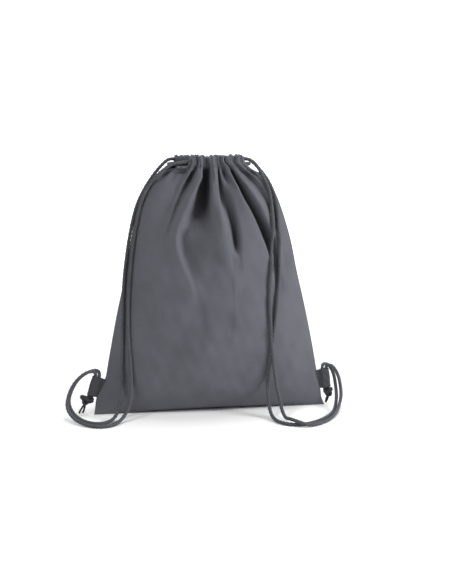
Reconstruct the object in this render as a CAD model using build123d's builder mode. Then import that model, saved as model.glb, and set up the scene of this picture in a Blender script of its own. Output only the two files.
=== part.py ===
from build123d import *
from math import cos, pi, radians, sin, tan
import os

os.makedirs("parts", exist_ok=True)

# A cotton drawstring backpack, stuffed and standing on a floor. Millimetres.
# X runs across the bag, -Y is its front, +Z is up. The origin is on the floor
# under the middle of the bag, without its cords.

# Driving dimensions
cloth = 2.0  # wall of each panel
allowance = 10.0  # width of the seam allowance inside the bag
ply = 1.6  # two plies of cloth, pressed flat
room = 0.3  # clearance between pieces that move apart

seam_y = -21.0  # where the bottom seam stands on the floor
mouth_z = 382.0  # middle of the hem channels
mouth_y = -1.0  # middle of the mouth
lip_z = 372.0  # foot of the hem channels, where the lips hinge
panel_top = lip_z - room

hem_length = 102.0  # gathered, from side to side
hem_height = 20.0
hem_depth = 14.0
tunnel_height = 15.0
tunnel_depth = 11.5
lip_gap = 7.0  # between the two hems
front_hem_y = mouth_y + 0.25 - lip_gap / 2 - hem_depth / 2
back_hem_y = mouth_y + 0.25 + lip_gap / 2 + hem_depth / 2

cord = 5.0  # diameter of the braided cord
high_z = mouth_z + 3.3  # where a cord leaves a channel as a strap
low_z = mouth_z - 3.3  # where it leaves to turn into the other channel
low_exit_z = mouth_z - 2.5  # the left cord leaves the front channel lower than the others

# Cross sections of the stuffed bag: height, half width, depth in front of
# the seams and depth behind them
stations = [
    (0, 181, 6, 60),
    (12, 174.5, 18, 74),
    (40, 167, 35, 84),
    (90, 157.5, 50, 87),
    (150, 145, 57, 81),
    (210, 130.5, 54, 70),
    (270, 119, 45, 55),
    (320, 108, 34, 38),
    (346, 95, 26, 28),
    (362, 82, 20, 21),
    (panel_top, 64, 17, 17.5),
]
front, back = -1, 1
slit_z = 335.0  # the side seams stop here, below the mouth


def seam_at(height):
    return seam_y + (mouth_y - seam_y) * height / mouth_z


def save(piece, name):
    piece.part.label = name
    export_step(piece.part, f"parts/{name}.step")


# Bag panels: each is a crescent wall, lofted up from the floor


def wall_section(height, half_width, depth, side):
    edge_y = seam_at(height) + side * (ply / 2 + room)
    inner_half = half_width - 1.5 * cloth
    with BuildSketch() as section:
        with BuildLine():
            ThreePointArc(
                (-half_width, edge_y), (0, edge_y + side * depth), (half_width, edge_y)
            )
            Line((half_width, edge_y), (inner_half, edge_y))
            ThreePointArc(
                (inner_half, edge_y), (0, edge_y + side * (depth - cloth)), (-inner_half, edge_y)
            )
            Line((-inner_half, edge_y), (-half_width, edge_y))
        make_face()
    return section.sketch


with BuildPart() as front_panel:
    for height, half_width, front_depth, back_depth in stations:
        with BuildSketch(Plane.XY.offset(height)):
            add(wall_section(height, half_width, front_depth, front))
    loft()
save(front_panel, "front_panel")

with BuildPart() as back_panel:
    # a plate that the bag stands on, with the wall rising from it
    floor_half, floor_depth = stations[0][1], stations[0][3]
    floor_edge = seam_at(cloth) + ply / 2 + room
    with BuildSketch():
        with BuildLine():
            ThreePointArc((-floor_half, floor_edge), (0, floor_edge + floor_depth), (floor_half, floor_edge))
            Line((floor_half, floor_edge), (-floor_half, floor_edge))
        make_face()
    extrude(amount=cloth)
    for height, half_width, front_depth, back_depth in stations:
        wall_height = max(height, cloth)
        with BuildSketch(Plane.XY.offset(wall_height)):
            add(wall_section(wall_height, half_width, back_depth, back))
    loft()
save(back_panel, "back_panel")

# Seam allowances, pressed flat between the panels

lean = Vector(0, mouth_y - seam_y, mouth_z).normalized()
seam_plane = Plane(origin=(0, seam_y, 0), x_dir=(1, 0, 0), z_dir=Vector(1, 0, 0).cross(lean))

with BuildPart() as bottom_seam:
    bottom_half = stations[0][1]
    with BuildSketch(seam_plane):
        with BuildLine():
            Polyline(
                (-bottom_half, 0.1),
                (bottom_half, 0.1),
                (bottom_half - allowance / 2, allowance),
                (-bottom_half + allowance / 2, allowance),
                close=True,
            )
        make_face()
    extrude(amount=ply / 2, both=True)
save(bottom_seam, "bottom_seam")

side_edge = [(w, z / lean.Z) for z, w, *_ in stations[1:8]] + [(103, slit_z / lean.Z)]
for side, name in ((-1, "left_side_seam"), (1, "right_side_seam")):
    outer = [(side * x, y) for x, y in side_edge]
    inner = [(side * (x - allowance), y) for x, y in reversed(side_edge)]
    with BuildPart() as side_seam:
        with BuildSketch(seam_plane):
            with BuildLine():
                Spline(*outer)
                Line(outer[-1], inner[0])
                Spline(*inner)
                Line(inner[-1], outer[0])
            make_face()
        extrude(amount=ply / 2, both=True)
    save(side_seam, name)

# Hem channels: the gathered tunnels that the cords run through

stitch_height = 1.0
stitch_proud = 0.5
for hem_y, side, name in ((front_hem_y, front, "front"), (back_hem_y, back, "back")):
    with BuildPart() as hem_channel:
        with BuildSketch(Plane.YZ):
            with Locations((hem_y, mouth_z)):
                RectangleRounded(hem_depth, hem_height, 3)
                RectangleRounded(tunnel_depth, tunnel_height, 2, mode=Mode.SUBTRACT)
        extrude(amount=hem_length / 2, both=True)
    save(hem_channel, f"{name}_hem_channel")

    with BuildPart() as hem_stitching:
        stitch_y = hem_y + side * (hem_depth + stitch_proud) / 2
        with Locations((0, stitch_y, mouth_z - tunnel_height / 2 + stitch_height)):
            Box(hem_length - 6, stitch_proud, stitch_height)
    save(hem_stitching, f"{name}_hem_stitching")

# Cords. Each is one length: knot, tab, strap, channel, turn, channel, strap,
# tab, knot. The solids below are its spans.


def corner_radii(points):
    # each arc takes 0.45 of the shorter run beside its corner
    route = [Vector(*p) for p in points]
    radii = []
    for before, at, after in zip(route, route[1:], route[2:]):
        run_in, run_out = at - before, after - at
        turn = radians(run_in.get_angle(run_out))
        radii.append(0.45 * min(run_in.length, run_out.length) / tan(turn / 2))
    return radii


def cord_tube(points, name):
    radii = corner_radii(points)
    with BuildPart() as tube:
        with BuildLine() as path:
            FilletPolyline(*points, radius=radii)
        line = path.wire()
        with BuildSketch(Plane(origin=line @ 0, z_dir=line % 0)):
            Circle(cord / 2)
        sweep(path=line)
    expected = pi * cord**2 / 4 * line.length
    print(
        f"{name}: {line.length:.0f} mm, smallest radius {min(radii):.1f} mm,"
        f" volume {tube.part.volume / expected:.3f} of section times length"
    )
    save(tube, name)


def midpoint(a, b):
    return tuple((p + q) / 2 for p, q in zip(a, b))


hem_end = hem_length / 2
strap_start = hem_end + room
left_front_y, left_back_y = -14.2, 6.8  # the left cord in the two channels
right_front_y, right_back_y = -8.8, 12.2  # the right cord in them

# The straps, from the mouth over the shoulder, down the front to the floor
# and up into a tab. Each is an upper span and a lower span.
straps = {
    "left_strap_back": (
        [
            (-strap_start, left_back_y, high_z),
            (-58.5, 6.8, 386.3),
            (-67.5, 4, 380.5),
            (-82, -4.5, 366),
            (-98, -9, 343.5),
            (-111.5, -10, 316),
            (-120.5, -11, 279),
            (-127, -13.5, 242),
            (-132, -19, 204),
        ],
        [
            (-134.5, -26.5, 163),
            (-136, -35, 121),
            (-138, -40.5, 80),
            (-138.5, -44.5, 46),
            (-143.5, -51, 20),
            (-151, -60, 5),
            (-164, -74.5, 2.7),
            (-182, -76.5, 2.7),
            (-200, -60, 3.6),
            (-213, -39, 9),
            (-219.5, -22, 21),
            (-215, -14, 37),
            (-205, -11, 53),
            (-194, -11, 62),
            (-184.5, -12, 66.5),
            (-175, -14, 68.5),
            (-170.1, -18.85, 63.9),
            (-173.05, -18.85, 54.85),
        ],
    ),
    "left_strap_front": (
        [
            (-strap_start, left_front_y, low_exit_z),
            (-57.5, -14.4, 379.2),
            (-68, -14, 372),
            (-79.5, -13.5, 362.5),
            (-94, -16, 345),
            (-106, -16.8, 319),
            (-113.5, -17.5, 284),
            (-119.7, -20.5, 246),
            (-124, -26, 207),
        ],
        [
            (-127, -33, 168),
            (-127.8, -42, 124),
            (-125.5, -47.5, 82),
            (-124.5, -51, 49),
            (-128, -57, 23),
            (-139, -65.5, 6),
            (-150.5, -82, 2.7),
            (-163, -91, 2.7),
            (-181, -90.5, 2.7),
            (-201, -73, 3.6),
            (-215, -51.5, 8),
            (-222, -35, 18),
            (-219, -27, 33),
            (-212, -24.5, 48),
            (-203, -25, 59),
            (-194, -26, 66.5),
            (-186, -24.3, 69),
            (-179, -21.5, 68),
            (-176.4, -18.85, 62.7),
            (-178.35, -18.85, 56.6),
        ],
    ),
    "right_strap_back": (
        [
            (strap_start, right_back_y, high_z),
            (58.5, 12, 386),
            (68.5, 6, 380.5),
            (80, -4.5, 367),
            (93, -11.5, 347.5),
            (103, -15, 320),
            (104, -22, 285),
            (104, -31.5, 247),
            (102, -41.5, 208),
        ],
        [
            (96.5, -51, 170),
            (91, -56.5, 131),
            (86.5, -59.3, 96),
            (82, -60.3, 63),
            (80, -63.5, 33),
            (81.5, -73.5, 11),
            (83.5, -90, 3),
            (88.5, -109, 2.7),
            (101.5, -123.5, 2.7),
            (122, -126.5, 2.7),
            (144, -116, 2.7),
            (164, -97.5, 2.7),
            (180, -75, 2.7),
            (191, -50, 5.5),
            (197, -33, 18),
            (197.5, -22, 34),
            (196.5, -16.5, 46),
            (193.5, -14, 54.5),
            (188.8, -13.2, 62),
            (181, -13.6, 65),
            (175.95, -18.5, 61.7),
            (177.25, -18.85, 54.15),
        ],
    ),
    "right_strap_front": (
        [
            (strap_start, right_front_y, high_z),
            (58, -9, 386.2),
            (68.5, -12, 379.5),
            (78.5, -13.8, 364.5),
            (89.5, -16.5, 342.5),
            (95, -22, 314),
            (94, -31, 280),
            (90, -41.5, 244),
            (85.5, -50.5, 207),
        ],
        [
            (83.8, -57.5, 170),
            (85.5, -63, 131),
            (88, -66.5, 96),
            (91.5, -68, 63),
            (95.5, -70, 34),
            (99, -79, 12),
            (101, -96, 4),
            (103.5, -113, 8.4),
            (111, -128, 8.8),
            (129, -134.3, 3.2),
            (150.5, -122.8, 2.8),
            (171.5, -101, 2.8),
            (187.5, -72, 4.5),
            (196.5, -53, 10),
            (203.5, -37, 19),
            (204, -28, 33),
            (202, -23.5, 46),
            (195.7, -22.8, 58.5),
            (188, -22.4, 65),
            (181.8, -19.3, 61.8),
            (182.8, -18.85, 54.95),
        ],
    ),
}
for name, (upper, lower) in straps.items():
    middle = midpoint(upper[-1], lower[0])
    cord_tube(upper + [middle], f"{name}_upper")
    cord_tube([middle] + lower, f"{name}_lower")

# The turns, where a cord leaves one channel and goes back through the other
for side, front_y, back_y, name in (
    (1, left_front_y, left_back_y, "left_cord_turn"),
    (-1, right_front_y, right_back_y, "right_cord_turn"),
):
    cord_tube(
        [
            (side * strap_start, front_y, low_z),
            (side * 56.3, front_y, low_z - 0.3),
            (side * 60.8, front_y + 5.5, low_z - 0.6),
            (side * 60.8, back_y - 5.5, low_z - 0.6),
            (side * 56.3, back_y, low_z - 0.3),
            (side * strap_start, back_y, low_z),
        ],
        name,
    )

# The spans inside the channels, where the two cords cross side by side
for side, y, exit_z, name in (
    (-1, left_front_y, low_exit_z, "left_cord_front_run"),
    (-1, left_back_y, high_z, "left_cord_back_run"),
    (1, right_front_y, high_z, "right_cord_front_run"),
    (1, right_back_y, high_z, "right_cord_back_run"),
):
    start = Vector(side * hem_end, y, exit_z)
    along = Vector(-side * hem_end, y, low_z) - start
    with BuildPart() as channel_run:
        with BuildSketch(Plane(origin=start, z_dir=along)):
            Circle(cord / 2)
        extrude(amount=along.length)
    save(channel_run, name)

# Tabs: cloth loops sewn into the side seams, with the ends of a cord through
# them and knotted below

tab_half = 15.0  # half of the tab's height
tab_reach = 19.0  # how far the fold stands out from the seam
tab_thick = 8.4
tab_y = seam_at(41)
bore_inner, bore_outer = 9.2, 14.8  # where the two strands go through
strand_end = 12.0  # how far above the tab's middle they stop
knot_drop = 22.5  # from the tab's middle down to the knot
tail = 3.2

tabs = (
    # name, side, tilt, middle of the sewn edge, knot's offset, radii along and
    # across, whether the knot lies along the tab, and the tips of its tails
    ("left", -1, 18, (-168, 40.6), 16, 10, 7, True, ((-201, -20.5, 6), (-196, -17.5, 5.5))),
    ("right", 1, 8, (169.8, 41), 14, 9.5, 6.5, False, ((182, -20.5, 5.5), (184.5, -16.5, 6))),
)
for name, side, tilt, sewn, knot_out, long_radius, radius, along_tab, tips in tabs:
    up = Vector(-side * sin(radians(tilt)), 0, cos(radians(tilt)))
    out = Vector(side * cos(radians(tilt)), 0, sin(radians(tilt)))
    hinge = Vector(sewn[0], tab_y, sewn[1])
    tab_plane = Plane(origin=hinge, x_dir=out, z_dir=up)

    with BuildPart() as tab:
        with BuildSketch(tab_plane):
            with Locations((4, 0)):
                Rectangle(4, ply)
            with Locations(((5 + tab_reach) / 2, 0)):
                RectangleRounded(tab_reach - 5, tab_thick, 3.5)
                RectangleRounded(tab_reach - 7.4, tab_thick - 2.2, 2.8, mode=Mode.SUBTRACT)
        extrude(amount=tab_half, both=True)
    save(tab, f"{name}_tab")

    with BuildPart() as tab_stitching:
        with BuildSketch(tab_plane):
            with Locations((3.4, ply / 2 + 0.25), (3.4, -ply / 2 - 0.25)):
                Rectangle(1.2, 0.5)
        extrude(amount=tab_half - 2, both=True)
    save(tab_stitching, f"{name}_tab_stitching")

    with BuildPart() as tab_run:
        with BuildSketch(tab_plane.offset(strand_end - room)):
            with Locations((bore_inner, 0), (bore_outer, 0)):
                Circle(cord / 2)
        extrude(amount=-(strand_end - room + knot_drop - 4))
    save(tab_run, f"{name}_cord_tab_run")

    centre = hinge + out * knot_out - up * knot_drop
    axis = out if along_tab else Vector(0, 1, 0)
    knot_plane = Plane(origin=centre, x_dir=axis, z_dir=axis.cross(up))
    with BuildPart() as knot:
        with BuildSketch(knot_plane):
            Ellipse(long_radius, radius)
            with Locations((0, -radius)):
                Rectangle(2 * long_radius, 2 * radius, mode=Mode.SUBTRACT)
        revolve(axis=Axis(centre, axis))
    save(knot, f"{name}_knot")

    with BuildPart() as cord_tails:
        for tip, spread in zip(tips, (-2, 2)):
            top = centre - up * (radius - 1.5) + Vector(0, spread, 0)
            along = Vector(*tip) - top
            with BuildSketch(Plane(origin=top, z_dir=along)):
                Circle(tail / 2)
            extrude(amount=along.length)
    save(cord_tails, f"{name}_cord_tails")
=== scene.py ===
import math
import bpy
import numpy as np
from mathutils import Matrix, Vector
from mathutils.kdtree import KDTree


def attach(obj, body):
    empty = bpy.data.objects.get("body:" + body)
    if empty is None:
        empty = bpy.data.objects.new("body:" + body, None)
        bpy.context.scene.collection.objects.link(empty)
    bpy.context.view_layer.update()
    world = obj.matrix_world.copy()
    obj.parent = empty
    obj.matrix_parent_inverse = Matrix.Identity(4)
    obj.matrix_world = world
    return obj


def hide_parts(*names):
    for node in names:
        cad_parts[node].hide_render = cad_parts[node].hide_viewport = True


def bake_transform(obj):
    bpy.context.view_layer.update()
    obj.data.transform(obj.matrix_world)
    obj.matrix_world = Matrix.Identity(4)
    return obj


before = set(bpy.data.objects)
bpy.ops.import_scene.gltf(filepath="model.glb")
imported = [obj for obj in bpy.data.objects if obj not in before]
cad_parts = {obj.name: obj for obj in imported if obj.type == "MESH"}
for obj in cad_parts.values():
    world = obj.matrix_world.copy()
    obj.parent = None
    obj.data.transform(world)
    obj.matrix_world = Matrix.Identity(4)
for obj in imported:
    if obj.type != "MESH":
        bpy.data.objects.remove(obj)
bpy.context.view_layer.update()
scene = bpy.context.scene
mm = 0.001


# camera

view = {"azimuth": -9, "elevation": 10, "distance": 1.5, "target": (0.0229, -0.021, 0.1847), "lens": 78.3}


def placeCamera():
    turn, tip = math.radians(view["azimuth"]), math.radians(view["elevation"])
    away = Vector((math.sin(turn) * math.cos(tip), -math.cos(turn) * math.cos(tip), math.sin(tip)))
    data = bpy.data.cameras.new("camera")
    data.lens, data.sensor_width, data.sensor_fit = view["lens"], 36, "HORIZONTAL"
    data.clip_start, data.clip_end = 0.05, 30
    camera = bpy.data.objects.new("camera", data)
    scene.collection.objects.link(camera)
    camera.location = Vector(view["target"]) + away * view["distance"]
    camera.rotation_euler = away.to_track_quat("Z", "Y").to_euler()
    scene.camera = camera


placeCamera()
print("camera placed")


# shader helpers: sums on a Signal add Math nodes

class Signal:
    def __init__(self, look, socket):
        self.look, self.socket = look, socket

    def calc(self, operation, *values):
        return self.look.add("ShaderNodeMath", {"operation": operation}, dict(enumerate(values)))[0]

    def __add__(self, other): return self.calc("ADD", self, other)
    def __radd__(self, other): return self.calc("ADD", other, self)
    def __sub__(self, other): return self.calc("SUBTRACT", self, other)
    def __rsub__(self, other): return self.calc("SUBTRACT", other, self)
    def __mul__(self, other): return self.calc("MULTIPLY", self, other)
    def __rmul__(self, other): return self.calc("MULTIPLY", other, self)
    def __abs__(self): return self.calc("ABSOLUTE", self)
    def wave(self): return self.calc("SINE", self)


class Step:
    def __init__(self, look, node):
        self.look, self.node = look, node

    def __getitem__(self, key):
        return Signal(self.look, self.node.outputs[key])


class Look:
    def __init__(self, name):
        self.material = bpy.data.materials.new(name)
        self.material.use_nodes = True
        self.tree = self.material.node_tree
        self.tree.nodes.clear()

    def add(self, kind, settings=None, sockets=None):
        node = self.tree.nodes.new(kind)
        for key, value in (settings or {}).items():
            setattr(node, key, value)
        for key, value in (sockets or {}).items():
            if isinstance(value, Signal):
                self.tree.links.new(value.socket, node.inputs[key])
            else:
                node.inputs[key].default_value = value
        return Step(self, node)

    def mix(self, factor, a, b, blend="MIX"):
        settings = {"data_type": "RGBA", "blend_type": blend}
        return self.add("ShaderNodeMix", settings, {0: factor, 6: a, 7: b})[2]

    def stretch(self, vector, scale):
        return self.add("ShaderNodeVectorMath", {"operation": "MULTIPLY"}, {0: vector, 1: scale})[0]

    def noise(self, vector, scale, detail=2.0, roughness=0.5):
        sockets = {"Vector": vector, "Scale": scale, "Detail": detail, "Roughness": roughness}
        return self.add("ShaderNodeTexNoise", {}, sockets)["Fac"]

    def attribute(self, name):
        return self.add("ShaderNodeAttribute", {"attribute_type": "GEOMETRY", "attribute_name": name})

    def tint(self, colour, shade):
        # a colour made lighter or darker by one signal
        grey = self.add("ShaderNodeCombineColor", {}, {0: shade, 1: shade, 2: shade})[0]
        return self.mix(1.0, colour, grey, "MULTIPLY")

    def bump(self, height, strength, distance):
        sockets = {"Height": height, "Strength": strength, "Distance": distance}
        return self.add("ShaderNodeBump", {}, sockets)["Normal"]

    def finish(self, colour, roughness, normal, sheen=0.0, sheenTint=(1, 1, 1, 1), specular=0.25):
        sockets = {"Base Color": colour, "Roughness": roughness, "Sheen Weight": sheen,
                   "Sheen Roughness": 0.4, "Sheen Tint": sheenTint, "Specular IOR Level": specular}
        if normal is not None:
            sockets["Normal"] = normal
        surface = self.add("ShaderNodeBsdfPrincipled", {}, sockets)
        self.add("ShaderNodeOutputMaterial", {}, {"Surface": surface[0]})
        return self.material


paleSheen = (0.8, 0.82, 0.9, 1)
weaveSize = {"slubThin": 900, "slubLong": 45, "cloudScale": 14, "fuzzScale": 2600, "fuzz": 0.1, "roughness": 0.86}
yarnSize = {"count": 4, "shade": 0.07, "cloudScale": 260, "bump": 0.35, "height": 0.12 * mm, "roughness": 0.8}


def clothLook(name, options):
    # plain weave: warp and weft cross over and under, some threads thicker than others
    look = Look(name)
    flat = look.add("ShaderNodeUVMap", {"uv_map": "flat"})[0]
    parts = look.add("ShaderNodeSeparateXYZ", {}, {0: flat})
    across, along = parts[0] * (math.pi / options["thread"]), parts[1] * (math.pi / options["thread"])
    weave = across.wave() * along.wave()
    thin, long = weaveSize["slubThin"], weaveSize["slubLong"]
    warpSlub = look.noise(look.stretch(flat, (thin, long, 1)), 1.0, 2)
    weftSlub = look.noise(look.stretch(flat, (long, thin, 1)), 1.0, 2)
    cloud = look.noise(flat, weaveSize["cloudScale"], 3, 0.55)
    fuzz = look.noise(flat, weaveSize["fuzzScale"], 1)
    slub = warpSlub * 0.5 + weftSlub * 0.5
    shade = 1 + (slub - 0.5) * options["streak"] + (cloud - 0.5) * options["cloud"]
    shade = shade + (fuzz - 0.5) * weaveSize["fuzz"]
    # painted shade in the gaps between threads
    shade = shade - (1 - abs(weave)) * options["pit"]
    # painted shade: the colour is darkened deep in folds and tucks
    shade = shade * (1 - look.attribute("paintedFoldShade")["Fac"] * options.get("paintedFoldShade", 0))
    height = weave * 0.5 + slub * 0.9 + fuzz * 0.15
    normal = look.bump(height, options["bump"], options["thread"] * 0.5)
    roughness = weaveSize["roughness"] + (slub - 0.5) * 0.12
    return look.finish(look.tint(options["colour"], shade), roughness, normal, options["sheen"], paleSheen)


def cordLook(name, options):
    # the strands' round backs come from the mesh; yarns run along each strand
    look = Look(name)
    winding = look.add("ShaderNodeUVMap", {"uv_map": "winding"})[0]
    paintedGrooveShade = look.attribute("paintedGrooveShade")["Fac"]
    side = look.attribute("side")["Fac"]
    parts = look.add("ShaderNodeSeparateXYZ", {}, {0: winding})
    slant = parts[1] + parts[0] * side
    yarn = (slant * (2 * math.pi * yarnSize["count"])).wave()
    cloud = look.noise(look.add("ShaderNodeNewGeometry")["Position"], yarnSize["cloudScale"], 2)
    # painted shade: darker in the grooves between strands
    shade = 1 + yarn * yarnSize["shade"] + (cloud - 0.5) * options["cloud"] - paintedGrooveShade * options["paintedGrooveShade"]
    normal = look.bump(yarn + cloud, yarnSize["bump"], yarnSize["height"])
    roughness = yarnSize["roughness"] + (cloud - 0.5) * 0.15
    return look.finish(look.tint(options["colour"], shade), roughness, normal, options["sheen"], paleSheen)


graphite = (0.112, 0.113, 0.133, 1)
cottonLook = clothLook("graphiteCotton", {"thread": 0.55 * mm, "colour": graphite, "streak": 0.22, "cloud": 0.16,
                                          "pit": 0.12, "bump": 0.35, "sheen": 0.1, "paintedFoldShade": 0.5})
tabLook = clothLook("darkCotton", {"thread": 0.55 * mm, "colour": (0.062, 0.063, 0.071, 1), "streak": 0.25,
                                   "cloud": 0.2, "pit": 0.15, "bump": 0.4, "sheen": 0.08})
braidLook = cordLook("graphiteBraid", {"colour": (0.115, 0.118, 0.134, 1), "cloud": 0.3, "paintedGrooveShade": 0.95, "sheen": 0.1})
# the knot, tails and tab strands are the same cord as the straps, painted darker as shade
shadedCordLook = cordLook("cordInPaintedShade", {"colour": (0.05, 0.051, 0.056, 1), "cloud": 0.3, "paintedGrooveShade": 0.6, "sheen": 0.06})
threadLook = cordLook("sewingThread", {"colour": (0.1, 0.103, 0.115, 1), "cloud": 0.2, "paintedGrooveShade": 0.3, "sheen": 0.1})
print("materials ready")


# meshes

def gridFaces(rows, width):
    return [(i * width + j, i * width + j + 1, (i + 1) * width + j + 1, (i + 1) * width + j)
            for i in range(rows - 1) for j in range(width - 1)]


def ringFaces(rings, around, base=0):
    return [(base + i * around + j, base + i * around + (j + 1) % around,
             base + (i + 1) * around + (j + 1) % around, base + (i + 1) * around + j)
            for i in range(rings - 1) for j in range(around)]


def makeMesh(name, points, faces, material):
    mesh = bpy.data.meshes.new(name)
    mesh.from_pydata([tuple(p) for p in points], [], faces)
    mesh.validate()
    mesh.update()
    mesh.polygons.foreach_set("use_smooth", [True] * len(mesh.polygons))
    mesh.materials.append(material)
    piece = bpy.data.objects.new(name, mesh)
    scene.collection.objects.link(piece)
    return piece


def pointValues(piece, name, values):
    attribute = piece.data.attributes.new(name, "FLOAT", "POINT")
    attribute.data.foreach_set("value", np.asarray(values, np.float32).ravel())


def cornerMap(piece, name, table):
    # a UV map from one (u, v) for each vertex
    layer = piece.data.uv_layers.new(name=name)
    at = np.zeros(len(piece.data.loops), np.int32)
    piece.data.loops.foreach_get("vertex_index", at)
    layer.data.foreach_set("uv", np.asarray(table, np.float32)[at].ravel())


# cords

cordSize = {"width": 5.8 * mm, "declared": 5 * mm, "carriers": 4, "pitch": 6.2 * mm, "relief": 0.32,
            "step": 0.65 * mm, "around": 20, "sunk": 0.5 * mm, "reach": 7 * mm}

strapRoutes = {
    ("left", "back"): {
        "upper": [(-51.3, 6.8, 385.3), (-58.5, 6.8, 386.3), (-67.5, 4, 380.5), (-82, -4.5, 366), (-98, -9, 343.5),
            (-111.5, -10, 316), (-120.5, -11, 279), (-127, -13.5, 242), (-132, -19, 204)],
        "lower": [(-134.5, -26.5, 163), (-136, -35, 121), (-138, -40.5, 80), (-138.5, -44.5, 46), (-143.5, -51, 20),
            (-151, -60, 5), (-164, -74.5, 2.7), (-182, -76.5, 2.7), (-200, -60, 3.6), (-213, -39, 9),
            (-219.5, -22, 21), (-215, -14, 37), (-205, -11, 53), (-194, -11, 62), (-184.5, -12, 66.5),
            (-175, -14, 68.5), (-170.1, -18.85, 63.9), (-173.05, -18.85, 54.85)]},
    ("left", "front"): {
        "upper": [(-51.3, -14.2, 379.5), (-57.5, -14.4, 379.2), (-68, -14, 372), (-79.5, -13.5, 362.5),
            (-94, -16, 345), (-106, -16.8, 319), (-113.5, -17.5, 284), (-119.7, -20.5, 246), (-124, -26, 207)],
        "lower": [(-127, -33, 168), (-127.8, -42, 124), (-125.5, -47.5, 82), (-124.5, -51, 49), (-128, -57, 23),
            (-139, -65.5, 6), (-150.5, -82, 2.7), (-163, -91, 2.7), (-181, -90.5, 2.7), (-201, -73, 3.6),
            (-215, -51.5, 8), (-222, -35, 18), (-219, -27, 33), (-212, -24.5, 48), (-203, -25, 59), (-194, -26, 66.5),
            (-186, -24.3, 69), (-179, -21.5, 68), (-176.4, -18.85, 62.7), (-178.35, -18.85, 56.6)]},
    ("right", "back"): {
        "upper": [(51.3, 12.2, 385.3), (58.5, 12, 386), (68.5, 6, 380.5), (80, -4.5, 367), (93, -11.5, 347.5),
            (103, -15, 320), (104, -22, 285), (104, -31.5, 247), (102, -41.5, 208)],
        "lower": [(96.5, -51, 170), (91, -56.5, 131), (86.5, -59.3, 96), (82, -60.3, 63), (80, -63.5, 33),
            (81.5, -73.5, 11), (83.5, -90, 3), (88.5, -109, 2.7), (101.5, -123.5, 2.7), (122, -126.5, 2.7),
            (144, -116, 2.7), (164, -97.5, 2.7), (180, -75, 2.7), (191, -50, 5.5), (197, -33, 18), (197.5, -22, 34),
            (196.5, -16.5, 46), (193.5, -14, 54.5), (188.8, -13.2, 62), (181, -13.6, 65), (175.95, -18.5, 61.7),
            (177.25, -18.85, 54.15)]},
    ("right", "front"): {
        "upper": [(51.3, -8.8, 385.3), (58, -9, 386.2), (68.5, -12, 379.5), (78.5, -13.8, 364.5),
            (89.5, -16.5, 342.5), (95, -22, 314), (94, -31, 280), (90, -41.5, 244), (85.5, -50.5, 207)],
        "lower": [(83.8, -57.5, 170), (85.5, -63, 131), (88, -66.5, 96), (91.5, -68, 63), (95.5, -70, 34),
            (99, -79, 12), (101, -96, 4), (103.5, -113, 8.4), (111, -128, 8.8), (129, -134.3, 3.2),
            (150.5, -122.8, 2.8), (171.5, -101, 2.8), (187.5, -72, 4.5), (196.5, -53, 10), (203.5, -37, 19),
            (204, -28, 33), (202, -23.5, 46), (195.7, -22.8, 58.5), (188, -22.4, 65), (181.8, -19.3, 61.8),
            (182.8, -18.85, 54.95)]},
}

# each cord's two lanes through the channels: y, the height where it comes out, and its rise just inside
cordLanes = {"left": {"out": -1, "front": (-14.2, 379.5, 4.0), "back": (6.8, 385.3, -0.8)},
             "right": {"out": 1, "front": (-8.8, 385.3, -0.8), "back": (12.2, 385.3, -0.8)}}
# x and z where a turn leaves the channels, where it bends and where it is furthest out
turnSize = {"start": (51.3, 378.7), "bend": (56.3, 378.4), "reach": (60.8, 378.1), "corner": 5.5}
runSize = {"end": 51, "early": 30, "late": 12, "lateZ": 381.0, "farZ": 378.7}


def splineLine(points):
    # points along the smooth line that a cord follows
    curve = bpy.data.curves.new("route", "CURVE")
    curve.dimensions = "3D"
    curve.resolution_u = 24
    spline = curve.splines.new("NURBS")
    spline.points.add(len(points) - 1)
    for knot, point in zip(spline.points, points):
        knot.co = (point[0] * mm, point[1] * mm, point[2] * mm, 1)
    spline.order_u = 3
    spline.use_endpoint_u = True
    guide = bpy.data.objects.new("route", curve)
    scene.collection.objects.link(guide)
    mesh = bpy.data.meshes.new_from_object(guide)
    line = np.array([v.co for v in mesh.vertices], float)
    bpy.data.objects.remove(guide)
    bpy.data.curves.remove(curve)
    bpy.data.meshes.remove(mesh)
    return line


def distances(line):
    return np.concatenate([[0], np.cumsum(np.linalg.norm(np.diff(line, axis=0), axis=1))])


def evenly(line, step):
    # points a step apart along the line, and how far along each one is
    run = distances(line)
    count = max(2, int(round(run[-1] / step)) + 1)
    at = np.linspace(0, run[-1], count)
    return np.stack([np.interp(at, run, line[:, k]) for k in range(3)], 1), at


def ringFrames(line):
    # two directions across the line at each point, turned as little as possible
    heading = np.gradient(line, axis=0)
    heading /= np.linalg.norm(heading, axis=1)[:, None]
    first = np.cross(heading[0], (0.3, 0.2, 1.0))
    first /= np.linalg.norm(first)
    sides = [first]
    for ahead in heading[1:]:
        turned = sides[-1] - ahead * (sides[-1] @ ahead)
        sides.append(turned / np.linalg.norm(turned))
    sides = np.array(sides)
    return sides, np.cross(heading, sides)


def braidRelief(angle, run, size):
    # height of the uppermost strand, from 0 in a gap to 1 on a strand's back, and which way that strand runs
    around = size["carriers"] * angle / (2 * math.pi)
    along = run / size["pitch"]
    rising, falling = around + along, around - along
    backRising = np.sqrt(np.maximum(0, 1 - (2 * (rising % 1) - 1) ** 2))
    backFalling = np.sqrt(np.maximum(0, 1 - (2 * (falling % 1) - 1) ** 2))
    over = np.abs(np.sin(math.pi * rising) * np.sin(math.pi * falling))
    over = np.where((np.floor(rising) + np.floor(falling)) % 2 == 0, over, -over)
    highRising, highFalling = backRising * (0.5 + 0.5 * over), backFalling * (0.5 - 0.5 * over)
    return np.maximum(highRising, highFalling), np.where(highRising > highFalling, 1.0, -1.0)


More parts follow.
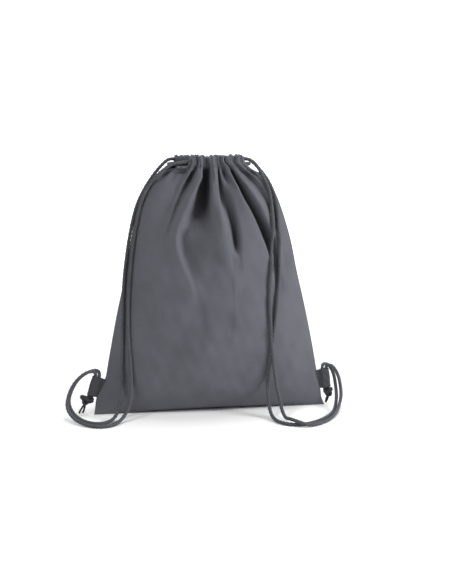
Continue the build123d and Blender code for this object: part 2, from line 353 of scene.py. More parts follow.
def braidTube(name, line, start, material, size=cordSize, frames=None):
    around = size["around"]
    sides, ups = ringFrames(line) if frames is None else frames
    run = start + distances(line)
    angle = np.linspace(0, 2 * math.pi, around, endpoint=False)
    spin, travel = np.meshgrid(angle, run)
    relief, side = braidRelief(spin, travel, size)
    radius = size["width"] / 2 * (1 - size["relief"] + size["relief"] * relief)
    points = (line[:, None] + sides[:, None] * (np.cos(spin) * radius)[..., None] +
              ups[:, None] * (np.sin(spin) * radius)[..., None])
    spinRow = np.stack([spin.ravel() * size["carriers"] / (2 * math.pi), travel.ravel() / size["pitch"]], 1)
    # a point in the middle of each end closes the tube
    points = np.vstack([points.reshape(-1, 3), line[0], line[-1]])
    # how deep in a groove each point lies, which sets its painted shade
    paintedGrooveShades, which = np.append((1 - relief).ravel(), [0, 0]), np.append(side.ravel(), [1, 1])
    spinRow = np.vstack([spinRow, [0, 0], [0, 0]])
    low, high, last = len(points) - 2, len(points) - 1, (len(line) - 1) * around
    faces = ringFaces(len(line), around)
    for j in range(around):
        k = (j + 1) % around
        faces += [(low, k, j), (high, last + j, last + k)]
    piece = makeMesh(name, points, faces, material)
    pointValues(piece, "paintedGrooveShade", paintedGrooveShades)
    pointValues(piece, "side", which)
    cornerMap(piece, "winding", spinRow)
    return piece


def strapLines():
    # the line of each whole strap, and the point where its upper span ends
    lines = {}
    for key, strap in strapRoutes.items():
        line, run = evenly(splineLine(strap["upper"] + strap["lower"]), cordSize["step"])
        middle = (np.array(strap["upper"][-1]) + np.array(strap["lower"][0])) / 2 * mm
        cut = int(np.argmin(np.linalg.norm(line - middle, axis=1)))
        lines[key] = (line, run, cut)
    return lines


laid = {"foot": (0.03, 0.05), "top": (0.35, 0.364), "clothTop": 0.366, "near": 4 * mm, "smooth": 31,
        "under": 2.9 * mm, "groove": 6 * mm, "deepest": 9 * mm}


def layOn(lines, cloth):
    # the straps come to rest on the front cloth where they pass close over it
    outer = np.array([v.co for v in cloth.data.vertices])[:len(clothHeights()) * (bag["columns"] + 1)]
    tree = KDTree(len(outer))
    for k, spot in enumerate(outer):
        tree.insert((spot[0], 0, spot[2]), k)
    tree.balance()
    window = np.hanning(laid["smooth"])
    for line, run, cut in lines.values():
        shift = np.zeros(len(line))
        for k, point in enumerate(line):
            hold = ease(*laid["foot"], point[2]) * (1 - ease(*laid["top"], point[2]))
            near = tree.find_range((point[0], 0, point[2]), laid["near"]) if hold > 0 else []
            if near:
                surface = min(outer[index][1] for place, index, gap in near)
                target = surface - cordSize["width"] / 2 + cordSize["sunk"]
                shift[k] = hold * np.clip(target - point[1], -cordSize["reach"], cordSize["reach"])
        shift = np.pad(shift, laid["smooth"] // 2, "edge")
        line[:, 1] += np.convolve(shift, window / window.sum(), "valid")
    # the cloth gives way under the cords
    for line, run, cut in lines.values():
        near = KDTree(len(line))
        for k, point in enumerate(line):
            near.insert((point[0], 0, point[2]), k)
        near.balance()
        for k, spot in enumerate(outer):
            if spot[2] > laid["clothTop"]:
                continue
            place, index, gap = near.find((spot[0], 0, spot[2]))
            if gap < laid["under"]:
                hollowed = math.cos(gap / laid["groove"] * math.pi / 2) ** 0.5
                behind = line[index][1] + cordSize["width"] * 0.5 * hollowed
                if behind - spot[1] < laid["deepest"]:
                    cloth.data.vertices[k].co[1] = spot[1] = max(spot[1], behind)


strapBends = {"arch": 0.034, "lip": 0.366}  # heights where a strap's arch over to its tab begins, and where it comes down from its lip


def makeStraps(lines):
    for (side, face), (line, run, cut) in lines.items():
        name, node, frames = side + "Strap" + face.title(), side + "_strap_" + face, ringFrames(line)
        last = int(np.max(np.nonzero(line[:, 2] < strapBends["arch"])))  # where the arch over to the tab begins
        top = int(np.argmax(line[:, 2] < strapBends["lip"]))
        for part, span, half in (("Upper", slice(0, cut + 1), "_upper"), ("Lower", slice(cut, last + 1), "_lower"),
                                 ("End", slice(last, None), "_lower")):
            piece = braidTube(name + part, line[span], run[span][0], braidLook,
                              frames=(frames[0][span], frames[1][span]))
            path = line[span][::3].tolist() + [line[span][-1].tolist()]
            declareCord(node + half, path)
            if part == "Upper":
                face + "_lip"
                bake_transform(piece)
            elif part == "Lower":
                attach(piece, "bag")
            else:
                side + "_tab_loop"
                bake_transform(piece)


def declareCord(node, path):
    path = [tuple(p) for p in path]
    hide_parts(node)


def makeTurns():
    # each turn is made as two halves, one in each channel
    halves, corner = {}, turnSize["corner"]
    for side, lanes in cordLanes.items():
        far, front, back = -lanes["out"], lanes["front"][0], lanes["back"][0]
        route = (("start", front), ("bend", front), ("reach", front + corner),
                 ("reach", back - corner), ("bend", back), ("start", back))
        points = [(far * turnSize[key][0], y, turnSize[key][1]) for key, y in route]
        line, run = evenly(splineLine(points), cordSize["step"])
        middle, frames = len(line) // 2, ringFrames(line)
        for face, span, end in (("front", slice(0, middle + 1), 0), ("back", slice(middle, None), -1)):
            piece = braidTube(side + "CordTurn" + face.title(), line[span], run[span][0], braidLook,
                              frames=(frames[0][span], frames[1][span]))
            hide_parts(side + "_cord_turn")
            face + "_lip"
            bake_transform(piece)
            halves[side, face] = piece
    return halves


def makeRuns(halves):
    # each run goes right through its channel, dropping to the height of the turn
    for side, face in ((side, face) for side in cordLanes for face in ("front", "back")):
        out, (y, high, rise) = cordLanes[side]["out"], cordLanes[side][face]
        points = [(out * runSize["end"], y, high), (out * runSize["early"], y, high + rise),
                  (-out * runSize["late"], y, runSize["lateZ"]), (-out * runSize["end"], y, runSize["farZ"])]
        line = evenly(splineLine(points), cordSize["step"])[0]
        piece = braidTube(side + "Cord" + face.title() + "Run", line, 0, braidLook)
        declareCord(side + "_cord_" + face + "_run", line.tolist())
        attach(piece, face + "_lip")


# the bag's form: height, half width, depth in front of the seams and depth behind them

bag = {
    "stations": [(0, 181, 1.5, 60), (5, 178, 10, 68), (12, 174.5, 17, 74), (40, 167, 35, 84), (90, 157.5, 50, 87),
                 (150, 145, 57, 81), (210, 130.5, 54, 70), (270, 119, 45, 55), (320, 108, 34, 38), (346, 95, 26, 28),
                 (362, 81, 20.5, 21), (372, 62, 19.6, 18.4), (382, 52, 20.6, 18.6), (396, 50.5, 20.2, 18.2)],
    "rightEdge": [(0, 0), (12, 1), (25, 3.5), (70, 4), (150, 5), (200, 6), (240, 6), (270, 5), (290, 3), (325, 0),
                  (396, 0)],
    "leftEdge": [(0, 0), (12, 4.5), (25, 6.5), (42, 3), (62, -1.5), (100, -1.5), (150, -1), (220, 0), (396, 0)],
    "flatHalf": 185, "footHalf": 181, "columns": 160, "rows": 165, "split": 330, "hemTop": 391, "hemFoot": 372.5,
    "hemInner": 3.9, "hemLimit": 1.9, "hemPleat": 1.1, "bottomLift": 3.9, "valley": 1.75, "ridge": 1.2,
    "mouthPleats": 15, "tucks": 23, "droop": 0.12, "seamFoot": -21, "seamShift": 20, "seamTop": 382,
    "threadGap": 0.6, "foldsEnd": (150, 60), "hemStarts": (364, 376), "edgeWidth": 22, "backFolds": 0.75,
    "turnedRows": 16, "turnedLength": 34, "floorRows": 14, "floorLength": 60,
    "crumples": [(0.9, 0.055, 0.021, 0.4), (0.7, -0.041, 0.063, 1.9), (0.5, 0.115, -0.052, 3.1),
                 (0.4, 0.071, 0.146, 0.8), (0.25, -0.21, 0.092, 2.2), (0.2, 0.31, 0.12, 5.0)]}

# each fold runs down the cloth: where it lies in the flat panel, then height, x and how far it stands out
folds = {
    "shoulderRidge": (-150, [(392, -42, 1), (383, -40, 1), (373, -51, 2), (361, -60, 2), (347, -70, 2),
        (309, -84, 1.5), (251, -104, 0.5), (165, -113, 0)]),
    "shoulderNotch": (-128, [(392, -35, -3), (383, -31, -6), (373, -38, -7), (364, -42, -2), (347, -50, 0),
        (309, -67, -0.5), (251, -86, 0), (165, -95, 0)]),
    "leftRidge": (-108, [(392, -29, 1), (383, -26, 2), (373, -30, 3), (361, -36, 3), (347, -45, 2), (309, -60, 1),
        (251, -79, 0.5), (165, -78, 0)]),
    "leftValley": (-88, [(392, -23, -4), (383, -20, -5), (373, -23, -6.5), (361, -30, -6.5), (347, -36, -4.5),
        (329, -45, -2.5), (309, -54, -1), (251, -71, 0), (165, -60, -1)]),
    "slantCrest": (-58, [(392, -17, 1), (383, -15, 3), (373, -15.5, 4.5), (361, -16, 6), (347, -23, 6),
        (329, -33, 6.5), (309, -43, 7), (289, -52, 7.5), (272, -56.5, 7.5), (262, -56, 7), (251, -54, 5.5),
        (231, -48, 3), (204, -39, 0.5), (165, -31, -2)]),
    "dentFloor": (-40, [(392, -9.5, -5), (383, -8.5, -11), (373, -8.5, -14), (361, -8, -17), (347, -12, -17),
        (329, -16, -15), (309, -22, -11), (289, -33, -4), (272, -44, -4.5), (251, -42, -5.5), (231, -36, -4),
        (204, -28, -2), (165, -20, -2.5)]),
    "deepFloor": (-22, [(392, -5, -5), (383, -4, -11), (373, -3.5, -16), (361, -3.5, -20), (347, -4, -21),
        (329, -6, -20), (309, -9, -14), (292, -14, -6), (272, -16, -4), (251, -18, -4), (231, -17, -3),
        (204, -13, -2), (165, -9, -1.5)]),
    "narrowLeft": (-10, [(392, -1.5, 1), (383, -1, 2), (373, 0.5, 2), (361, 1, 3), (347, 1, 3.5), (329, 0.5, 3.5),
        (309, 0, 1), (289, -1, -2), (251, -3, -3), (204, 0, -1.5), (165, 3, -1)]),
    "narrowRight": (10, [(392, 5.5, 1), (383, 6, 2.5), (373, 8.5, 3.5), (361, 9.5, 4), (347, 9.5, 4.5),
        (329, 9.5, 4.5), (309, 11, 5), (289, 14, 5), (272, 17, 4), (251, 20, 2.5), (231, 23, 0.5), (204, 26, -0.5),
        (165, 26, -0.5)]),
    "thinCrease": (18, [(392, 8.5, -3), (383, 9, -4), (373, 11.5, -6), (361, 12, -7), (347, 12.5, -7), (329, 14, -7),
        (309, 19, -4), (289, 24, -1.5), (272, 26, 0), (251, 28, 0), (204, 30, 0), (165, 31, 0)]),
    "hookRidge": (26, [(392, 11, 0), (383, 12, 0), (373, 14, 0.5), (361, 16, 1), (347, 20, -1), (329, 22, -6),
        (309, 27, -8), (289, 32, -9), (272, 34, -9), (258, 35.5, -7), (251, 36, -3), (243, 37, 0), (204, 38, 0),
        (165, 38, 0)]),
    "hookWall": (34, [(392, 14, -3), (383, 15, -4), (373, 19, -5), (361, 23, -4), (347, 28, 0), (329, 32, 1),
        (309, 36, 1), (289, 39.5, 2), (272, 41, 2.5), (251, 42, 2.5), (231, 43, 1), (204, 45, 0), (165, 46, 0)]),
    "longCrest": (62, [(392, 16.5, 1), (383, 17.5, 3), (373, 25, 4), (361, 31, 5), (347, 38, 6), (329, 46, 6.5),
        (309, 57, 6.5), (289, 66, 6.5), (272, 72, 5.5), (251, 80, 4.5), (226, 86, 2.5), (198, 90, 1), (165, 92, 0)]),
    "longFloor": (84, [(392, 21, -4), (383, 21.5, -6), (373, 30, -8), (361, 36, -10), (347, 43, -11), (329, 51, -12),
        (309, 62, -12), (289, 72, -12), (272, 80, -11), (251, 87, -8), (226, 93, -4), (198, 97, -1), (165, 99, 0)]),
    "rightRidge": (112, [(392, 28, 1), (383, 28, 2), (373, 35, 3), (361, 44, 4), (347, 55, 4.5), (329, 68, 4.5),
        (309, 80, 4), (289, 89, 3.5), (272, 97, 2.5), (251, 104, 1), (204, 111, 0), (165, 113, 0)]),
    "rightHollow": (140, [(392, 35, -3), (383, 35, -4), (373, 43, -4), (361, 56, -3.5), (347, 70, -3.5),
        (329, 84, -3.5), (309, 93, -3), (289, 99, -2), (251, 111, 0), (204, 118, 0), (165, 121, 0)]),
    "rightShoulder": (160, [(392, 43, 1), (383, 43, 2), (373, 52, 2), (361, 68, 1.5), (347, 82, 1.5), (329, 94, 1),
        (309, 102, 0.5), (251, 119, 0), (165, 130, 0)]),
}


def smoothly(xs, ys, at):
    # a curve through the points that never overshoots them
    xs, ys, at = np.asarray(xs, float), np.asarray(ys, float), np.asarray(at, float)
    h, d = np.diff(xs), np.diff(ys) / np.diff(xs)
    slope = np.zeros(len(xs))
    if len(xs) > 2:
        same = d[:-1] * d[1:] > 0
        w1, w2 = 2 * h[1:] + h[:-1], h[1:] + 2 * h[:-1]
        safe = np.where(same, w1 / np.where(d[:-1] == 0, 1, d[:-1]) + w2 / np.where(d[1:] == 0, 1, d[1:]), 1)
        slope[1:-1] = np.where(same, (w1 + w2) / safe, 0)
    slope[0], slope[-1] = d[0], d[-1]
    at = np.clip(at, xs[0], xs[-1])
    k = np.clip(np.searchsorted(xs, at) - 1, 0, len(xs) - 2)
    t = (at - xs[k]) / h[k]
    return ((2 * t**3 - 3 * t**2 + 1) * ys[k] + (t**3 - 2 * t**2 + t) * h[k] * slope[k] +
            (3 * t**2 - 2 * t**3) * ys[k + 1] + (t**3 - t**2) * h[k] * slope[k + 1])


def ease(low, high, at):
    t = np.clip((at - low) / (high - low), 0, 1)
    return t * t * (3 - 2 * t)


def formAt(height):
    table = np.array(bag["stations"], float)
    return [smoothly(table[:, 0], table[:, k], height) for k in (1, 2, 3)]


def sideEdges(heights):
    half = formAt(heights)[0]
    left, right = (smoothly(*np.array(bag[k], float).T, heights) for k in ("leftEdge", "rightEdge"))
    return half + left, half + right


def seamAt(height):
    return bag["seamFoot"] + bag["seamShift"] * height / bag["seamTop"]


def bottomRise(x):
    # the bottom edge lifts a little off the floor between the corners
    return bag["bottomLift"] * (1 - (x / bag["footHalf"])**2)


def bulge(x, half, depth):
    radius = (half**2 + depth**2) / (2 * depth)
    return np.sqrt(np.maximum(radius**2 - np.minimum(abs(x), half)**2, 0)) - (radius - depth)


def drape(heights, across, mirrored):
    # x and stand-out of every thread crossing: rows are heights, columns run across the flat panel
    flip = -1 if mirrored else 1
    lines = sorted((flip * at, [(z, flip * x, out) for z, x, out in path]) for at, path in folds.values())
    xs, outs = [], []
    for at, path in lines:
        path = sorted(path)
        z, x, out = (np.array(v, float) for v in zip(*path))
        xs.append(smoothly(z, x, heights))
        outs.append(smoothly(z, out, heights))
    left, right = sideEdges(heights)
    spots = np.array([-bag["flatHalf"]] + [at for at, path in lines] + [bag["flatHalf"]], float)
    grid = np.zeros((len(heights), len(across)))
    stand = np.zeros_like(grid)
    low = ease(*bag["foldsEnd"], heights)
    for i in range(len(heights)):
        row = np.array([-left[i]] + [x[i] for x in xs] + [right[i]])
        for k in range(1, len(row) - 1):
            furthest = right[i] - bag["threadGap"] * (len(row) - 1 - k)
            row[k] = min(max(row[k], row[k - 1] + bag["threadGap"]), furthest)
        plain = np.where(spots < 0, spots * left[i], spots * right[i]) / bag["flatHalf"]
        row = row * (1 - low[i]) + plain * low[i]
        grid[i] = smoothly(spots, row, across)
        stand[i] = smoothly(spots, np.array([0] + [out[i] for out in outs] + [0]), across) * (1 - low[i])
    return grid, stand


def crumple(x, z):
    # long shallow waves in several directions, as in cloth that was folded away
    return sum(size * np.sin(a * x + b * z + start + 0.6 * np.sin(b * x * 0.7 - a * z * 1.3))
               for size, a, b, start in bag["crumples"])


def clothHeights():
    # the rows of the cloth's outer face, closer together near the mouth
    rows, split = bag["rows"], bag["split"]
    return np.concatenate([np.linspace(0, split, rows * 3 // 5, endpoint=False),
                           np.linspace(split, bag["hemTop"], rows * 2 // 5)])


def sheetPoints(mirrored):
    columns, top, heights = bag["columns"], bag["hemTop"], clothHeights()
    across = np.linspace(-bag["flatHalf"], bag["flatHalf"], columns + 1)
    turns = 2 * math.pi * across[None] / (2 * bag["flatHalf"])
    x, out = drape(heights, across, mirrored)
    left, right = (v[:, None] for v in sideEdges(heights))
    front, back = (v[:, None] for v in formAt(heights)[1:])
    half = np.where(x < 0, left, right)
    high = np.repeat(heights[:, None], columns + 1, 1)
    depth = back if mirrored else front
    # the hem stands straight, while the cloth below it curves in to the seams
    hem = ease(*bag["hemStarts"], high)
    depth = bulge(x, half, depth) * (1 - hem) + depth * (1 - 0.1 * (x / half)**4) * hem
    if mirrored:
        out = out * bag["backFolds"]
    edge = ease(0, bag["edgeWidth"], half - abs(x))
    pleat = np.cos(bag["mouthPleats"] * turns + 1.3 * np.sin(across[None] / 31) + 0.8 * np.sin(across[None] / 13))
    ruffle = 0.6 * pleat + 0.4 * np.sin(across[None] / 4.1 + 2 * np.sin(across[None] / 17))
    out = np.where(out < 0, out * bag["valley"], out * bag["ridge"])
    out = (out + crumple(x, high) * ease(0, 40, high)) * edge
    paintedFoldShade = np.clip(-out / 16, 0, 1)  # how deep in a fold the cloth lies, where painted shade makes it a little darker
    out = out * (1 - hem) + np.clip(out * 0.5, -bag["hemLimit"], bag["hemLimit"]) * hem
    out = out + pleat * ease(345, 368, high) * (2.4 * (1 - hem) + bag["hemPleat"] * hem)
    tuck = np.maximum(0, np.cos(bag["tucks"] * turns + 2 * np.sin(across[None] / 23)))**5
    out = out - 1.0 * np.exp(-((high - 374.2) / 1.3)**2)  # the stitched line draws the cloth in
    out = out - 1.3 * tuck * ease(366, 378, high)
    # the tucks under the stitched line get painted shade as well
    paintedFoldShade = np.clip(paintedFoldShade + 0.7 * tuck * ease(368, 378, high), 0, 1)
    side = 1 if mirrored else -1
    y = seamAt(high) + side * (depth + out)
    z = high + bottomRise(x) * ease(40, 0, high)
    # the hem's upper edge rises and falls with the ruffles, and dips in the middle
    crown = ease(376, top, high)
    z = z + crown * (ruffle * 1.5 - 1.4 - 2.6 * np.exp(-((x + 2.3) / 5.5)**2) - 1.2 * np.exp(-((x - 24) / 7)**2))
    if not mirrored:
        # the front hem has slipped down under its cord at the left end
        slip = ease(-28, -35, x) * ease(371, 373, high)
        z = z * (1 - slip) + (372 + (z - 372) * bag["droop"]) * slip
    return across, heights, x, y, z, side, ruffle, paintedFoldShade


def bagSheet(name, mirrored):
    across, heights, x, y, z, side, ruffle, paintedFoldShade = sheetPoints(mirrored)
    rows = [np.stack([x[i], y[i], z[i]], 1) for i in range(len(heights))]
    lengths = list(heights)
    # over the top, and down inside to the hem's foot
    outer = rows[-1]
    inner = seamAt(bag["seamTop"]) + side * bag["hemInner"]
    floorCount = bag["floorRows"] if mirrored else 0
    for k in range(1, bag["turnedRows"] + 1):
        share = k / bag["turnedRows"]
        turn = math.pi * min(1, share * 2.2)
        crest = np.sin(turn) * 1.8 if share * 2.2 < 1 else 0
        slide = 0.5 - 0.5 * math.cos(turn)
        row = outer.copy()
        row[:, 1] = outer[:, 1] * (1 - slide) + (inner + side * ruffle[0] * 0.4) * slide
        row[:, 2] = outer[:, 2] + crest - max(0, share - 0.4) / 0.6 * (outer[:, 2] - bag["hemFoot"] - 0.5)
        rows.append(row)
        lengths.append(heights[-1] + bag["turnedLength"] * share)
    if mirrored:
        # the floor under the bag, from the bottom seam back to the foot of the back panel
        first, floorRows = rows[0], []
        for k in range(floorCount):
            share = k / floorCount
            row = first.copy()
            row[:, 1] = seamAt(0) + (first[:, 1] - seamAt(0)) * share
            row[:, 2] = first[:, 2] * (1 - share)**2 + 0.6 * math.sin(math.pi * share)
            floorRows.append(row)
        rows = floorRows + rows
        lengths = [bag["floorLength"] * (k / floorCount - 1) for k in range(floorCount)] + lengths
    points = np.concatenate(rows) * mm
    width = len(across)
    faces = gridFaces(len(rows), width)
    if mirrored:
        faces = [quad[::-1] for quad in faces]
    piece = makeMesh(name, points, faces, cottonLook)
    flat = np.stack([np.tile(across, len(rows)), np.repeat(lengths, width)], 1) * mm
    cornerMap(piece, "flat", flat)
    # painted shade from folds and tucks, on the outer face rows only
    shade = np.zeros((len(rows), width))
    shade[floorCount:floorCount + len(heights)] = paintedFoldShade
    pointValues(piece, "paintedFoldShade", shade)
    return piece


frontCloth = bagSheet("frontCloth", False)
backCloth = bagSheet("backCloth", True)
strapPaths = strapLines()
layOn(strapPaths, frontCloth)


stitch = {"length": 2.6 * mm, "gap": 1.0 * mm, "thick": 0.55 * mm, "around": 8, "steps": 7, "hemHeight": 374.6,
          "ahead": 0.3 * mm, "lift": 0.15 * mm, "hemStep": 0.4 * mm, "hemEnds": 10}


def hemStitches(name, cloth, node, body, firstRow):
    # one row of stitches along the foot of a hem, on the outer face
    spots = np.array([v.co for v in cloth.data.vertices])
    width = bag["columns"] + 1
    index = firstRow + int(np.argmin(abs(clothHeights() - stitch["hemHeight"])))
    row, above = spots[index * width:(index + 1) * width], spots[(index + 1) * width:(index + 2) * width]
    outward = np.cross(np.gradient(row, axis=0), above - row)
    outward /= np.linalg.norm(outward, axis=1)[:, None]
    side = -1 if firstRow == 0 else 1
    outward *= np.sign(outward[:, 1] * side)[:, None]
    line = evenly(row + outward * stitch["lift"], stitch["hemStep"])[0]
    piece = stitchRow(name, line[stitch["hemEnds"]:-stitch["hemEnds"]], (0, side, 0))
    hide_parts(node)
    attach(piece, body)


def alongLine(line, run, at):
    return np.array([np.interp(at, run, line[:, a]) for a in range(3)])


def stitchRow(name, line, outward):
    # short plump threads, one after another along a line
    line, run = evenly(line, stitch["ahead"])
    outward = np.array(outward, float)
    points, faces, paintedGrooveShades = [], [], []
    steps, around, pace = stitch["steps"], stitch["around"], stitch["length"] + stitch["gap"]
    for k in range(max(1, int(run[-1] / pace))):
        base = len(points)
        for i in range(steps):
            share = i / (steps - 1)
            at = k * pace + stitch["length"] * share
            centre = alongLine(line, run, at)
            if i < steps - 1:  # the last ring faces the same way as the one before it
                ahead = alongLine(line, run, at + stitch["ahead"]) - centre
                ahead /= max(np.linalg.norm(ahead), 1e-9)
            up = outward - ahead * (outward @ ahead)
            up /= np.linalg.norm(up)
            across = np.cross(ahead, up)
            radius = stitch["thick"] / 2 * (0.35 + 0.65 * math.sin(math.pi * (0.08 + 0.84 * share)))
            lift = stitch["thick"] * (0.45 * math.sin(math.pi * share) - 0.15)
            for j in range(around):
                a = 2 * math.pi * j / around
                points.append(centre + up * (lift + radius * math.sin(a)) + across * radius * math.cos(a))
                # painted shade, darker on the side of the thread that faces the cloth
                paintedGrooveShades.append(0.5 - 0.5 * math.sin(a))
        faces += ringFaces(steps, around, base)
        last = base + (steps - 1) * around
        faces += [tuple(range(base, base + around))[::-1], tuple(range(last, last + around))]
    piece = makeMesh(name, points, faces, threadLook)
    pointValues(piece, "paintedGrooveShade", paintedGrooveShades)
    pointValues(piece, "side", np.ones(len(paintedGrooveShades)))
    cornerMap(piece, "winding", [(0.1 * k, 0.05 * k) for k in range(len(paintedGrooveShades))])
    return piece


hemStitches("frontHemStitches", frontCloth, "front_hem_stitching", "front_lip", 0)
hemStitches("backHemStitches", backCloth, "back_hem_stitching", "back_lip", bag["floorRows"])

for cloth, nodes, lip in ((frontCloth, ("front_panel", "front_hem_channel"), "front_lip"),
                          (backCloth, ("back_panel", "back_hem_channel"), "back_lip")):
    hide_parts(*nodes)
    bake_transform(cloth)
print("bag cloth made")

makeStraps(strapPaths)
makeRuns(makeTurns())
print("cords made")


# seam allowances: two plies folded together inside the bag

seam = {"width": 10, "ply": 0.55, "inset": 1.2, "steps": 90, "spacing": 4, "foot": 14, "top": 333, "bottomHalf": 176}


def seamStrip(name, node, edges, inward):
    # edges is the line of the seam, and inward the way that the allowance lies from it
    edges = np.array(edges, float)
    points, flat = [], []
    profile = [(0.0, -seam["ply"]), (0.5, -seam["ply"]), (1.0, -seam["ply"] * 0.7), (1.04, 0.0),
               (1.0, seam["ply"] * 0.7), (0.5, seam["ply"]), (0.0, seam["ply"])]
    for k, (edge, way) in enumerate(zip(edges, inward)):
        wave = 0.3 * math.sin(k * 0.55) + 0.2 * math.sin(k * 1.3)
        for share, ply in profile:
            spot = edge + np.array(way) * seam["width"] * share
            points.append(spot * mm + np.array((0, ply + wave * share * 0.6, 0)) * mm)
            flat.append((seam["width"] * share * mm + ply * mm, k * seam["spacing"] * mm))
    piece = makeMesh(name, points, gridFaces(len(edges), len(profile)), cottonLook)
    cornerMap(piece, "flat", flat)
    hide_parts(node)
    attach(piece, "bag")


def makeSeams():
    heights = np.linspace(seam["foot"], seam["top"], seam["steps"])
    left, right = sideEdges(heights)
    for name, node, side, edge in (("leftSeam", "left_side_seam", -1, left),
                                   ("rightSeam", "right_side_seam", 1, right)):
        line = [(side * (edge[k] - seam["inset"]), seamAt(heights[k]), heights[k]) for k in range(len(heights))]
        seamStrip(name, node, line, [(-side, 0, 0)] * len(line))
    across = np.linspace(-seam["bottomHalf"], seam["bottomHalf"], seam["steps"])
    line = [(x, seamAt(rise + 1), rise + 0.8) for x, rise in zip(across, bottomRise(across))]
    seamStrip("bottomSeam", "bottom_seam", line, [(0, 0.05, 0.9)] * len(line))


makeSeams()
print("seams made")


# tabs: a folded loop of darker cloth at each lower corner, the cord's two ends through it and knotted below

tabs = {
    "left": {"hinge": (-168, -18.85, 40.6), "up": (0.309, 0, 0.951), "out": (-0.951, 0, 0.309), "knotAt": (17.4, -23.5),
             "knotSize": (11.4, 8.6, 8.6), "tips": [(-203.5, -20.5, 3.5), (-198, -17.5, 2.5)], "start": -8},
    "right": {"hinge": (169.8, -18.85, 41), "up": (-0.139, 0, 0.990), "out": (0.990, 0, 0.139), "knotAt": (14, -22.5),
              "knotSize": (8.6, 9.6, 8.6), "tips": [(182.4, -20.8, 3), (183.6, -17.2, 3.4)], "start": -7}}
tabSize = {
    "half": 15, "cloth": 1.0, "steps": 30, "turns": 64, "thick": 4.2, "turnedIn": (10.6, 11.4), "rim": (14.2, 15),
    "stitchOut": 3.3, "stitchAcross": 1.35, "stitchHalf": 12.6,
    # distance from the seam and half thickness of the loop, round its outside
    "outline": [(0, 0.85), (2.5, 0.95), (4.2, 1.7), (6, 3.4), (8, 4.2), (10, 4.35), (12, 4.15), (14, 4.3), (16, 4.1),
                (18, 3.0), (19.1, 1.5), (19.4, 0)]}
knotForm = {"steps": 220, "start": 0.5, "swell": 0.62, "wrapRise": 0.15667, "wrapTilt": 1.2 * mm, "apart": 1.8}
endSize = dict(cordSize, width=5.3 * mm, around=18)
tailSize = dict(cordSize, width=3.3 * mm, pitch=3.0 * mm, relief=0.22, step=0.4 * mm, around=14)
knotSize = dict(cordSize, width=5.2 * mm, step=0.5 * mm, around=18)


def tabPlace(tab, out, across, up):
    # a point beside the tab's seam, in metres
    spot = np.array(tab["hinge"]) + np.array(tab["out"]) * out + np.array(tab["up"]) * up + np.array((0, across, 0))
    return spot * mm


def makeTab(name, tab):
    side = np.array(tabSize["outline"] + [(u, -v) for u, v in tabSize["outline"][-2::-1]], float)
    side = np.vstack([(tab["start"], 0.8), side, (tab["start"], -0.8)])
    gaps = distances(side)
    at = np.linspace(0, gaps[-1], tabSize["turns"])
    outline = np.stack([smoothly(gaps, side[:, k], at) for k in (0, 1)], 1)
    heading = np.gradient(outline, axis=0)
    heading /= np.linalg.norm(heading, axis=1)[:, None]
    inside = outline + np.stack([heading[:, 1], -heading[:, 0]], 1) * tabSize["cloth"]
    inside[:, 1] = np.where(abs(outline[:, 1]) < 1.2, outline[:, 1] * 0.05, inside[:, 1])
    inside[:, 0] = np.where(outline[:, 0] > 18.2, np.minimum(inside[:, 0], outline[:, 0] - 0.9), inside[:, 0])
    points, flat = [], []
    levels = np.linspace(-tabSize["half"], tabSize["half"], tabSize["steps"])
    for level in levels:
        turned = 0.35 * ease(*tabSize["turnedIn"], abs(level))  # the ends are turned in and stitched
        rim = -0.45 * ease(*tabSize["rim"], abs(level))
        lean = 0.35 * math.sin(level * 0.21 + 1)
        flare = 0.3 * ease(12, 15, abs(level))
        for k, (u, v) in enumerate(outline):
            ripple = 0.22 * math.sin(level * 0.5 + u * 0.7) + 0.15 * math.sin(level * 0.9 - u * 1.1)
            grow = 1 + (turned + rim + ripple) / tabSize["thick"]
            points.append(tabPlace(tab, u + lean * (u > 3) + flare * (u > 17), v * grow, level))
            flat.append((at[k] * mm, level * mm))
        for k, (u, v) in enumerate(inside):
            points.append(tabPlace(tab, u, v, level))
            flat.append((at[k] * mm, level * mm))
    turns, faces = tabSize["turns"], []
    ring = 2 * turns
    for i in range(len(levels) - 1):
        for k in range(turns - 1):
            a, b = i * ring + k, (i + 1) * ring + k
            faces += [(a, a + 1, b + 1, b), (a + turns, b + turns, b + turns + 1, a + turns + 1)]
        for k in (0, turns - 1):
            a, b = i * ring + k, (i + 1) * ring + k
            faces.append((a, b, b + turns, a + turns) if k == 0 else (a, a + turns, b + turns, b))
    last = (len(levels) - 1) * ring
    for k in range(turns - 1):
        n = last + k
        faces += [(k, k + turns, k + turns + 1, k + 1), (n, n + 1, n + turns + 1, n + turns)]
    piece = makeMesh(name + "Tab", points, faces, tabLook)
    cornerMap(piece, "flat", flat)
    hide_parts(name + "_tab")
    tuple(tabPlace(tab, -1, 0, 0))
    tuple(tabPlace(tab, 2.4, 0, 0))
    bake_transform(piece)
    for across, part in ((1, "Back"), (-1, "Front")):
        line = np.array([tabPlace(tab, tabSize["stitchOut"], across * tabSize["stitchAcross"], level)
                         for level in (-tabSize["stitchHalf"], tabSize["stitchHalf"])])
        row = stitchRow(name + "TabStitches" + part, line, (0, across, 0))
        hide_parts(name + "_tab_stitching")
        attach(row, name + "_tab_loop")


